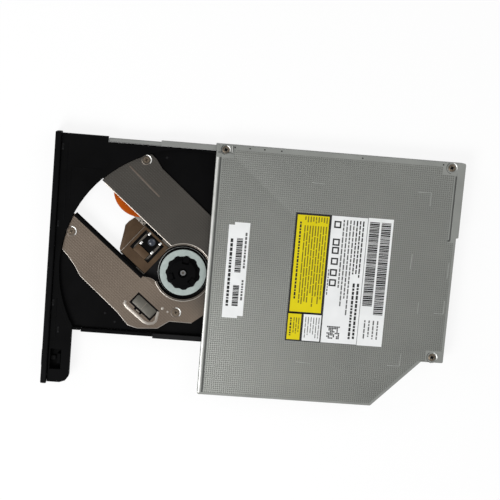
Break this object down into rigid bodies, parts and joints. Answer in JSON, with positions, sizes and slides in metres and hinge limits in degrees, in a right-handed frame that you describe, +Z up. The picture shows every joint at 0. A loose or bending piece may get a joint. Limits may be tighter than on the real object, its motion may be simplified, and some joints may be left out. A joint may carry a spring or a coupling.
{
  "type": "slim optical disc drive",
  "caption": "Slim tray-load optical disc drive with a sheet-metal housing, a disc tray drawn out on slide rails, and its spindle, pickup sled and feed screw open to view.",
  "frame": {"origin": "middle of the housing's underside", "axes": "+Z up out of the cover, -Y out of the front, along the tray's travel, +X to the right seen from the front"},
  "size_m": [0.128, 0.2066, 0.0095],
  "materials": {
    "cover_steel": "fine dotted emboss, satin grey",
    "case_steel": "satin stamped sheet",
    "rail_steel": "satin",
    "bright_steel": "polished",
    "plate_steel": "brown grey satin, fine dots",
    "sled_metal": "die cast",
    "sled_cover": "brown satin",
    "magnet_metal": "plated",
    "motor_can": "satin",
    "black_plastic": "moulded black, fine grain",
    "guide_plastic": "moulded",
    "ring_rubber": "matt grey blue",
    "damper_rubber": "matt",
    "board_green": "solder mask",
    "flex_orange": "film",
    "lamp_clear": "clear",
    "lens_glass": "coated",
    "copper_wire": "enamelled"
  },
  "bodies": {
    "housing": {"bottom_case": "case_steel", "top_cover": "cover_steel", "cover_screw_1": "bright_steel", "cover_screw_2": "bright_steel", "cover_screw_3": "bright_steel", "left_rail_guide": "guide_plastic", "right_rail_guide": "guide_plastic", "main_circuit_board": "board_green", "rear_connector": "black_plastic", "latch_pin": "bright_steel"},
    "left_rail": {"left_slide_rail": "rail_steel"},
    "right_rail": {"right_slide_rail": "rail_steel"},
    "tray": {"tray": "black_plastic", "front_bezel": "black_plastic", "indicator_lens": "lamp_clear", "tray_runner_left": "rail_steel", "tray_runner_right": "rail_steel", "tray_bottom_cover": "case_steel", "traverse_cover": "plate_steel", "traverse_screw_1": "bright_steel", "traverse_screw_2": "bright_steel", "traverse_screw_3": "bright_steel", "rubber_damper_1": "damper_rubber", "rubber_damper_2": "damper_rubber", "rubber_damper_3": "damper_rubber", "traverse_frame": "case_steel", "spindle_motor_base": "case_steel", "spindle_stator": "copper_wire", "guide_rod_main": "bright_steel", "guide_rod_sub": "bright_steel", "feed_motor": "motor_can", "feed_bracket": "rail_steel", "eject_switch": "guide_plastic", "eject_solenoid": "motor_can", "pickup_flex": "flex_orange"},
    "eject_button": {"eject_button": "black_plastic"},
    "latch": {"latch_lever": "case_steel"},
    "spindle": {"rotor_cup": "case_steel", "spindle_shaft": "bright_steel", "turntable_hub": "black_plastic", "friction_ring": "ring_rubber"},
    "claw_1": {"clamp_claw_1": "black_plastic"},
    "claw_2": {"clamp_claw_2": "black_plastic"},
    "claw_3": {"clamp_claw_3": "black_plastic"},
    "lead_screw": {"lead_screw": "bright_steel"},
    "sled": {"pickup_body": "sled_metal", "pickup_cover": "sled_cover", "actuator_yoke": "case_steel", "magnet_inner": "magnet_metal", "magnet_outer": "magnet_metal", "screw_follower": "black_plastic"},
    "lens": {"lens_holder": "black_plastic", "objective_lens": "lens_glass"}
  },
  "joints": [
    {"name": "tray_slide", "type": "slide", "parent": "housing", "child": "tray", "axis": [0, -1, 0], "range_m": [-0.07645, 0.057]},
    {"name": "left_rail_slide", "type": "slide", "parent": "housing", "child": "left_rail", "axis": [0, -1, 0], "range_m": [-0.0506, 0.0378]},
    {"name": "right_rail_slide", "type": "slide", "parent": "housing", "child": "right_rail", "axis": [0, -1, 0], "range_m": [-0.0506, 0.0378]},
    {"name": "spindle_spin", "type": "hinge", "parent": "tray", "child": "spindle", "pos_m": [0.0024, -0.075, 0.0066], "axis": [0, 0, 1], "continuous": true},
    {"name": "sled_slide", "type": "slide", "parent": "tray", "child": "sled", "axis": [-0.6361, -0.7716, 0], "range_m": [0, 0.036], "deforming": ["pickup_flex"]},
    {"name": "lead_screw_turn", "type": "hinge", "parent": "tray", "child": "lead_screw", "pos_m": [0.00989, -0.1071, 0.0039], "axis": [-0.6361, -0.7716, 0], "range_deg": [-10, 4330]},
    {"name": "lens_focus", "type": "slide", "parent": "sled", "child": "lens", "axis": [0, 0, 1], "range_m": [-0.0004, 0.0004], "stiffness_N_per_m": 60},
    {"name": "eject_press", "type": "slide", "parent": "tray", "child": "eject_button", "axis": [0, 1, 0], "range_m": [0, 0.0006], "stiffness_N_per_m": 1200},
    {"name": "latch_swing", "type": "hinge", "parent": "tray", "child": "latch", "pos_m": [0.0275, -0.13095, 0.0028], "axis": [0, 0, 1], "range_deg": [0, 15], "stiffness_Nm_per_rad": 0.004},
    {"name": "claw_1_slide", "type": "slide", "parent": "spindle", "child": "claw_1", "axis": [-0.3502, 0.9367, 0], "range_m": [0, 0.0006], "stiffness_N_per_m": 300},
    {"name": "claw_2_slide", "type": "slide", "parent": "spindle", "child": "claw_2", "axis": [-0.6361, -0.7716, 0], "range_m": [0, 0.0006], "stiffness_N_per_m": 300},
    {"name": "claw_3_slide", "type": "slide", "parent": "spindle", "child": "claw_3", "axis": [0.9863, -0.165, 0], "range_m": [0, 0.0006], "stiffness_N_per_m": 300}
  ],
  "couplings": [
    {"joint": "left_rail_slide", "follows": "tray_slide", "ratio": 0.66},
    {"joint": "right_rail_slide", "follows": "tray_slide", "ratio": 0.66},
    {"joint": "lead_screw_turn", "follows": "sled_slide", "rad_per_m": 2094.4}
  ]
}
